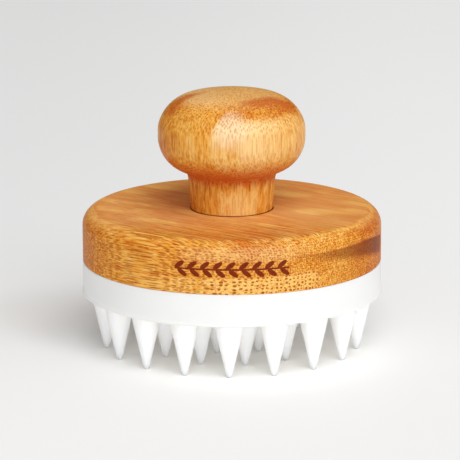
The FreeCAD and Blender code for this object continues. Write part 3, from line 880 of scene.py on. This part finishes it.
def disc_material():
    """Three plies of bamboo strips glued side by side, cut through by the disc's rim."""
    graph = Graph("bamboo_disc")
    place = graph.millimetres()
    fibres = fibre_space(graph, place, DISC_ALONG, DISC_ACROSS, UP)
    run, side, rise = fibres
    level = graph.minus(rise, disc_low.z / MM)
    axes = disc_coordinates(graph, place, side, rise, level)
    axes["run"] = run
    parts = make_regions(graph, axes, DISC_REGIONS)
    calm, pale = parts["calm top"], parts["pale strip"]
    parts["strip"], glue = strips(graph, side, level)

    # Fibre bundles: a fine stipple, and the front strip of the lowest ply with few and large ones.
    fine = bundles(graph, fibres, spacing=0.58, size=0.40, softness=0.16, evenness=0.55, length=2.0,
                   gap_share=0.36)
    coarse = bundles(graph, fibres, spacing=1.00, size=0.30, softness=0.08, evenness=0.45, length=9.0,
                     gap_share=0.32)
    fine_share = graph.times(graph.remap(calm, 0.0, 1.0, 1.0, FINE_SHARE_TOP),
                             graph.remap(run, *FINE_SHARE_ALONG))
    marks = graph.blend(pale, graph.times(fine, fine_share), coarse)

    # Tone: hair grain, long bands and threads, each strip's own and that of every region.
    grain = lines(graph, fibres, along=0.14, across=2.1, detail=3.0, spread=0.16, roughness=0.6)
    threads = lines(graph, fibres, along=0.014, across=0.8, detail=2.0, spread=0.2)
    parts["grain"] = graph.times(grain, graph.remap(calm, 0.0, 1.0, GRAIN_SHARE_SIDE, GRAIN_SHARE_TOP))
    parts["threads"] = threads
    parts["bands"] = lines(graph, fibres, along=0.006, across=0.16, detail=1.0, spread=0.22)
    base = bamboo_tone(graph, weigh(graph, DISC_TONE_START, parts, DISC_TONE_SHARES))

    # Thin orange streaks towards the front left, and an orange stain at the top's front edge.
    streak_noise = graph.noise(stretch(graph, fibres, along=0.22, across=2.0), 1.0, 2.0, 0.55)
    streaks = graph.step(streak_noise, *STREAK_EDGE)
    base = tinted(graph, base, ORANGE, streaks, parts["front left"], share=0.75)
    # Painted sheen: cream over the front of the top.
    base = tinted(graph, base, CREAM, calm, share=0.2)
    stain_share = graph.remap(threads, -1.0, 1.0, *STAIN_SHARES)
    base = tinted(graph, base, ORANGE, parts["front stain"], share=stain_share)
    # Painted highlight: cream along the front of the rounded edge.
    base = tinted(graph, base, CREAM, parts["rim"], share=0.24)

    # The wedge is widest and darkest at the right.
    plain, streaky = WEDGE_STREAKS
    wedge_depth = graph.times(graph.remap(side, *WEDGE_DEPTH_ALONG),
                              graph.add(plain, graph.times(grain, streaky)))
    base = tinted(graph, base, BARK, parts["wedge"], share=wedge_depth)
    base = tinted(graph, base, RUST, glue, share=0.3)
    mark_tint = graph.mix(pale, FINE_MARK_TINT, COARSE_MARK_TINT)
    base = graph.mix(marks, base, mark_tint, "MULTIPLY")
    base = tinted(graph, base, BURNT, sprig_mask(graph, place), share=0.95)
    return finish_bamboo(graph, base, marks, grain, gloss=0.04)


# -------------------- the knob's bamboo

# The knob is glued up from layers that face the front right; these are the ways they face and run.
KNOB_LAYERS_FACE = (0.65, -0.76, 0.0)
KNOB_LAYERS_RUN = (0.76, 0.65, 0.0)
KNOB_MIDDLE_FROM_MM = 10.8
KNOB_MIDDLE_BLUR = (60.0, 63.0, 1.6, 0.5)

# A dark growth layer in every strip: where it lies, how often it comes and how ragged it is.
DARK_LAYER_MM = 12.3
DARK_PITCH_MM = 18.3
DARK_RAGGED_MM = 2.2
DARK_SLANT = 0.87
DARK_START_MM = -8.7
# Painted shadow in the crease where the neck enters the disc: its height above the disc's top and its soft
# edge.
FOOT_SHADOW_MM = 0.16
FOOT_SHADOW_EDGE_MM = 0.1

KNOB_SPOTS = {"belt highlight": (-1.0, -18.0, 62.4), "foot light": (1.5, -10.5, 39.5)}

# Where things lie on the knob, in millimetres: side is the way the layers face.
LOW_NECK = ("z", 45.5, 42.0)
KNOB_REGIONS = {
    "left layer": (("side", 3.9, 3.3),),
    "pale layer": (("side", 15.65, 15.95),),
    "low neck": (LOW_NECK,),
    "neck left": (LOW_NECK, ("x", 0.0, -9.0)),
    "neck right": (LOW_NECK, ("x", 4.0, 9.0)),
    "left side": (("x", -12.0, -18.5),),
    "left middle": (("x", 2.0, -5.0), ("z", 50.0, 55.0), ("z", 66.5, 63.0)),
    "far right": (("x", 10.0, 17.0), ("z", 58.0, 62.0)),
    "right dome": (("side", 9.0, 12.0), ("z", 62.8, 66.0)),
    "under dome": (("z", 62.5, 60.0),),
    # Painted highlights: the cream band round the belt, the crown and the belt's front; painted reflected
    # light at the foot's front.
    "cream": (("z", 49.0, 57.0), ("z", 65.6, 63.0)),
    "crown": (("z", 66.0, 68.8),),
    "belt highlight": (("belt highlight", 7.0, 2.5),),
    "foot light": (("foot light", 7.0, 2.0),),
    "hollow": (("z", 44.5, 47.0), ("z", 54.0, 48.5)),
    "belt": (("z", 50.0, 55.0), ("z", 63.5, 59.5)),
    "dark layer": (("from dark layer", 5.0, 1.4), ("z", 62.5, 65.5), ("along dark layer", 9.0, 4.0)),
}

# How far each part shifts the knob's tone, and how much of the bundles' dark shows.
KNOB_TONE_START = 0.60
KNOB_TONE_SHARES = {
    "grain": 0.25, "threads": 0.10, "cloud": 0.07, "middle layer": 0.16, "left layer": -0.03,
    "low neck": 0.26, "left side": -0.17, "left middle": 0.08, "neck left": -0.34, "neck right": -0.24,
    "right dome": -0.34, "stripes": 0.22, "far right": -0.13,
}
KNOB_MARK_START = 0.6
KNOB_MARK_SHARES = {"belt": -0.26, "low neck": -0.3}

# How the cream colour's share changes: up the middle layer, from left to right, and on the crown; the cream
# is partly a painted highlight.
CREAM_PALE_LAYER = 0.7
CREAM_UP_MIDDLE = (60.0, 62.5, 0.28, 0.6)
CREAM_TO_RIGHT = (-7.0, 3.0, 1.0, 0.3)
CREAM_ON_CROWN = (-10.0, 0.0, 0.55, 0.3)


def knob_material():
    """A turned block of upright bamboo: stippled on the dome, with dashes round the belt and neck."""
    graph = Graph("bamboo_knob")
    place = graph.millimetres()
    fibres = fibre_space(graph, place, UP, KNOB_LAYERS_FACE, KNOB_LAYERS_RUN)
    side, rise = fibres[1:]
    axes = coordinates(graph, place, KNOB_SPOTS)
    axes["side"] = side
    offset = graph.math("FLOORED_MODULO", graph.minus(side, DARK_LAYER_MM - DARK_PITCH_MM / 2), DARK_PITCH_MM)
    from_layer = graph.math("ABSOLUTE", graph.minus(offset, DARK_PITCH_MM / 2))
    ragged = graph.times(graph.noise(place, 0.35, 3.0), DARK_RAGGED_MM)
    axes["from dark layer"] = graph.add(from_layer, ragged)
    layer_middle = graph.add(graph.times(side, DARK_SLANT), DARK_START_MM)
    axes["along dark layer"] = graph.math("ABSOLUTE", graph.minus(rise, layer_middle))
    parts = make_regions(graph, axes, KNOB_REGIONS)

    # The middle layer's joint is softer round the belt than on the dome.
    blur = graph.remap(axes["z"], *KNOB_MIDDLE_BLUR)
    middle = graph.step(side, graph.minus(KNOB_MIDDLE_FROM_MM, blur), graph.add(KNOB_MIDDLE_FROM_MM, blur))
    grain = lines(graph, fibres, along=0.32, across=1.7, detail=3.0, spread=0.16, roughness=0.6)
    threads = lines(graph, fibres, along=0.03, across=0.55, detail=2.0, spread=0.2)
    pale = parts["pale layer"]
    parts["middle layer"] = middle
    parts["grain"] = grain
    parts["threads"] = threads
    parts["cloud"] = contrast(graph, graph.noise(place, 0.13, 2.0), 0.2)
    parts["stripes"] = graph.times(graph.minus(middle, pale), graph.times(threads, parts["under dome"]))
    base = bamboo_tone(graph, weigh(graph, KNOB_TONE_START, parts, KNOB_TONE_SHARES))

    # Cream over the front layers, most where they meet, is partly their paler wood and partly a painted
    # highlight; the ivory patch on the belt's front and the cream on the crown are painted highlights, and
    # the cream at the neck's front is painted light reflected from the disc.
    cream = graph.add(graph.times(pale, CREAM_PALE_LAYER),
                      graph.times(middle, graph.remap(axes["z"], *CREAM_UP_MIDDLE)))
    to_right = graph.remap(rise, *CREAM_TO_RIGHT)
    base = tinted(graph, base, CREAM, cream, parts["cream"], to_right, share=0.6)
    base = tinted(graph, base, IVORY, middle, parts["belt highlight"], share=0.5)
    # Painted light reflected from the disc onto the neck's front.
    base = tinted(graph, base, CREAM, parts["foot light"], share=0.2)
    crown_share = graph.remap(axes["x"], *CREAM_ON_CROWN)
    base = tinted(graph, base, CREAM, parts["crown"], share=crown_share)

    # Dark growth layers on the dome, painted shade with a warm painted reflection in the hollow under it, and
    # the bundles.
    base = tinted(graph, base, ORANGE, parts["dark layer"], share=0.85)
    base = tinted(graph, base, RUST, parts["hollow"], share=0.62)
    fine = bundles(graph, fibres, spacing=0.60, size=0.40, softness=0.18, evenness=0.6, length=1.6,
                   gap_share=0.40)
    mark_share = weigh(graph, KNOB_MARK_START, parts, KNOB_MARK_SHARES)
    base = graph.mix(graph.times(fine, mark_share), base, FINE_MARK_TINT, "MULTIPLY")

    # A thin dark line where the neck enters the disc: a painted shadow in the crease.
    shadow_top = DISC_TOP_MM + FOOT_SHADOW_MM
    stain = graph.step(axes["z"], shadow_top + FOOT_SHADOW_EDGE_MM, shadow_top - FOOT_SHADOW_EDGE_MM)
    base = tinted(graph, base, BURNT, stain, share=0.9)
    return finish_bamboo(graph, base, fine, grain, gloss=0.08)


# -------------------- white and metal materials


def collar_material():
    """Satin moulded plastic with faint flow marks and a very fine grain."""
    graph = Graph("collar_plastic")
    place = graph.millimetres()
    flow = graph.noise(place, 0.12, 2.0)
    graph.set("Base Color", graph.mix(flow, colour(244, 244, 243), colour(249, 249, 248)))
    uneven_roughness(graph, scale=0.4, detail=3.0, smooth=0.30, rough=0.40)
    graph.set("Subsurface Weight", 0.3)
    graph.set("Subsurface Radius", (1.0, 0.98, 0.94))
    graph.set("Subsurface Scale", 1.5 * MM)
    graph.bump(graph.noise(place, 6.0, 2.0), 0.006 * MM)
    return graph.material


# The silicone is tinted warmer towards the roots, a painted warm shade between them, but not on the pad's
# rim: where the tint starts, and how far above the pad's face it is gone and still full.
ROOT_TINT = colour(250, 236, 214)
ROOT_TINT_FROM_MM = 10.0
ROOT_TINT_END_MM = (0.9, 0.3)


def silicone_material():
    """Soft white silicone that lets light through, with a painted warm shade between the roots."""
    graph = Graph("silicone")
    place = graph.millimetres()
    z = graph.separate(place)[2]
    face = pad_low.z / MM
    outer, inner = (face + above for above in ROOT_TINT_END_MM)
    white = graph.mix(graph.noise(place, 0.15, 2.0), colour(252, 251, 249), colour(254, 254, 253))
    to_root = graph.step(z, ROOT_TINT_FROM_MM, face)
    graph.set("Base Color", tinted(graph, white, ROOT_TINT, to_root, graph.step(z, outer, inner), share=0.4))
    uneven_roughness(graph, scale=0.6, detail=3.0, smooth=0.42, rough=0.55)
    graph.set("Subsurface Weight", 1.0)
    graph.set("Subsurface Radius", (1.0, 0.9, 0.78))
    graph.set("Subsurface Scale", 10.0 * MM)
    graph.bump(graph.noise(place, 8.0, 3.0), 0.008 * MM)
    return graph.material


def plate_material():
    """Plain grey plastic of the hidden plate."""
    graph = Graph("plate_plastic")
    place = graph.millimetres()
    cloud = graph.noise(place, 0.1, 2.0)
    graph.set("Base Color", graph.mix(cloud, colour(216, 217, 214), colour(228, 229, 226)))
    uneven_roughness(graph, scale=0.8, detail=3.0, smooth=0.45, rough=0.6)
    graph.bump(graph.noise(place, 3.0, 3.0), 0.02 * MM)
    return graph.material


def metal_material(name, dark, bright):
    """Turned metal: fine rings round the upright axis and slight tarnish."""
    graph = Graph(name)
    place = graph.millimetres()
    z = graph.separate(place)[2]
    rings = graph.noise(graph.combine(0.0, 0.0, graph.times(z, 9.0)), 1.0, 3.0)
    graph.set("Base Color", graph.mix(graph.noise(place, 0.7, 4.0), dark, bright))
    graph.set("Metallic", 1.0)
    uneven_roughness(graph, scale=0.7, detail=4.0, smooth=0.25, rough=0.42)
    graph.bump(rings, 0.01 * MM)
    return graph.material


def wear(piece, material):
    """Gives every slot of a piece the same material."""
    if not piece.material_slots:
        piece.data.materials.append(None)
    for slot in piece.material_slots:
        slot.link = "OBJECT"
        slot.material = material


# -------------------- stage, light and camera

FLOOR_RADII = (0.0, 0.4, 1.0, 6.0)
FLOOR_SEGMENTS = 96
FLOOR_DARK = (0.925, 0.925, 0.925)
FLOOR_BRIGHT = (0.945, 0.945, 0.945)
# Colours of the floor's painted light under the brush and of its painted warm shade beside it.
FLOOR_LIT = (0.995, 0.995, 0.985)
FLOOR_WARM = (0.45, 0.36, 0.26)
BLACK = (0.0, 0.0, 0.0)

# Spots on the floor and the regions round them, in millimetres.
FLOOR_SPOTS = {"under": (5.0, -13.0, 0.0), "beside": (-46.0, 28.0, 0.0)}
FLOOR_REGIONS = {
    "back left": (("y", -40.0, 60.0), ("x", 90.0, -90.0)),
    "under": (("under", 42.0, 22.0),),
    "beside": (("beside", 40.0, 10.0),),
}


def make_floor():
    """White paper with painted light and shade: a little greyer at the back left, painted lighter under the
    bristles as if lit through them, and a painted warm shade at their side.
    """
    bm = bmesh.new()
    skin(bm, [(radius, 0.0) for radius in FLOOR_RADII], segments=FLOOR_SEGMENTS)
    for face in bm.faces:
        if face.normal.z < 0:
            face.normal_flip()
    floor = add_mesh("floor", bm)
    graph = Graph("floor")
    place = graph.millimetres()
    parts = make_regions(graph, coordinates(graph, place, FLOOR_SPOTS), FLOOR_REGIONS)
    paint = graph.mix(graph.noise(place, 0.004, 2.0), FLOOR_DARK, FLOOR_BRIGHT)
    # Painted shade: the paper greyer at the back left.
    paint = tinted(graph, paint, BLACK, parts["back left"], share=0.085)
    # Painted light: the paper lighter under the bristles.
    paint = tinted(graph, paint, FLOOR_LIT, parts["under"])
    # Painted warm shade: the paper darker and warmer beside the bristles.
    graph.set("Base Color", tinted(graph, paint, FLOOR_WARM, parts["beside"], share=0.15))
    graph.set("Roughness", 0.7)
    graph.set("Specular IOR Level", 0.2)
    wear(floor, graph.material)
    return floor


# Where the softbox stands as seen from the brush, and how bright each part of the room is.
KEY_AZIMUTH = math.radians(16)
KEY_ELEVATION = math.radians(47)
KEY_DISTANCE = 4.5
KEY_SIZE = (3.4, 4.0)
KEY_WATTS = 147.0
KEY_COLOUR = (0.975, 0.99, 1.0)
BRISTLE_LIGHT_WATTS = 32.0
BRISTLE_LIGHT_COLOUR = (1.0, 0.985, 0.965)
BRISTLE_LIGHT_ELEVATION = math.radians(14)
BRISTLE_LIGHT_DISTANCE = 2.5
BRISTLE_LIGHT_SIZE = (3.0, 0.6)
ROOM_COLOUR = (1.0, 0.985, 0.97)
ROOM_WALLS = 0.36
ROOM_CEILING = 0.58
ROOM_CEILING_EDGE = (0.20, 0.60)
ROOM_LEFT_SHARE = 0.74
ROOM_RIGHT_SHARE = 1.26


def softbox(name, azimuth, elevation, distance, size, watts, tint):
    """A rectangular softbox that faces the brush; azimuth is from the front towards the right."""
    level = math.cos(elevation)
    toward = Vector((level * math.sin(azimuth), -level * math.cos(azimuth), math.sin(elevation)))
    data = bpy.data.lights.new(name, "AREA")
    data.shape = "RECTANGLE"
    data.size, data.size_y = size
    data.energy = watts
    data.color = tint
    lamp = add_object(name, data)
    lamp.location = Vector((0.0, 0.0, disc_high.z)) + toward * distance
    lamp.rotation_mode = "QUATERNION"
    lamp.rotation_quaternion = (-toward).to_track_quat("-Z", "Y")
    return lamp


def make_bristle_light(bristles, floor):
    """Stands in for the light that soft silicone passes on: it lights only the bristles."""
    lamp = softbox("bristle_softbox", KEY_AZIMUTH, BRISTLE_LIGHT_ELEVATION, BRISTLE_LIGHT_DISTANCE,
                   BRISTLE_LIGHT_SIZE, BRISTLE_LIGHT_WATTS, BRISTLE_LIGHT_COLOUR)
    lit = bpy.data.collections.new("lit_by_bristle_softbox")
    lit.objects.link(bristles)
    shading = bpy.data.collections.new("shading_bristle_softbox")
    shading.objects.link(floor)
    lamp.light_linking.receiver_collection = lit
    lamp.light_linking.blocker_collection = shading


def make_room_light():
    """A room with a bright ceiling and dimmer walls, darker on the left, that glossy rays don't see."""
    world = bpy.data.worlds.new("studio")
    world.use_nodes = True
    nodes = world.node_tree.nodes
    links = world.node_tree.links
    parts = nodes.new("ShaderNodeSeparateXYZ")
    links.new(nodes.new("ShaderNodeTexCoord").outputs["Generated"], parts.inputs[0])
    rows = (
        ("Z", *ROOM_CEILING_EDGE, ROOM_WALLS, ROOM_CEILING),
        ("X", -1.0, 1.0, ROOM_LEFT_SHARE, ROOM_RIGHT_SHARE),
    )
    product = nodes.new("ShaderNodeMath")
    product.operation = "MULTIPLY"
    for socket, (axis, low, high, first, last) in zip(product.inputs, rows):
        ranged = nodes.new("ShaderNodeMapRange")
        links.new(parts.outputs[axis], ranged.inputs["Value"])
        for name, value in (("From Min", low), ("From Max", high), ("To Min", first), ("To Max", last)):
            ranged.inputs[name].default_value = value
        links.new(ranged.outputs["Result"], socket)
    background = nodes["Background"]
    background.inputs["Color"].default_value = (*ROOM_COLOUR, 1.0)
    links.new(product.outputs[0], background.inputs["Strength"])
    world.cycles_visibility.glossy = False
    scene.world = world
    scene.view_settings.view_transform = "Standard"
    scene.view_settings.exposure = 0.0


CAMERA_DISTANCE = 0.8
CAMERA_ELEVATION = math.radians(13.67)
CAMERA_ROLL = math.radians(-0.15)
CAMERA_LENS_MM = 233.45
AIM_HEIGHT = 0.03118
AIM_SIDE = -0.00050


def make_camera():
    """A distant camera with a long lens, a little above the brush."""
    data = bpy.data.cameras.new("camera")
    data.lens = CAMERA_LENS_MM
    data.sensor_width = 36.0
    data.clip_start = 0.05
    data.clip_end = 30.0
    camera = add_object("camera", data)
    back = Vector((0.0, -math.cos(CAMERA_ELEVATION), math.sin(CAMERA_ELEVATION)))
    camera.location = Vector((AIM_SIDE, 0.0, AIM_HEIGHT)) + back * CAMERA_DISTANCE
    camera.rotation_mode = "QUATERNION"
    camera.rotation_quaternion = (-back).to_track_quat("-Z", "Y") @ Quaternion(UP, CAMERA_ROLL)
    scene.camera = camera


# -------------------- build

wear(make_knob(), knob_material())
wear(make_disc(), disc_material())
wear(make_collar(), collar_material())
silicone_pad = make_bristle_pad()
wear(silicone_pad, silicone_material())
wear(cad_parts["pad_plate"], plate_material())
brass = metal_material("insert_brass", colour(170, 130, 60), colour(214, 176, 98))
steel = metal_material("screw_steel", colour(150, 152, 155), colour(205, 207, 210))
wear(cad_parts["knob_insert"], brass)
for node_name in ("handle_screw", "handle_washer", "collar_screws"):
    wear(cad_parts[node_name], steel)
studio_floor = make_floor()
softbox("key_softbox", KEY_AZIMUTH, KEY_ELEVATION, KEY_DISTANCE, KEY_SIZE, KEY_WATTS, KEY_COLOUR)
make_bristle_light(silicone_pad, studio_floor)
make_room_light()
make_camera()
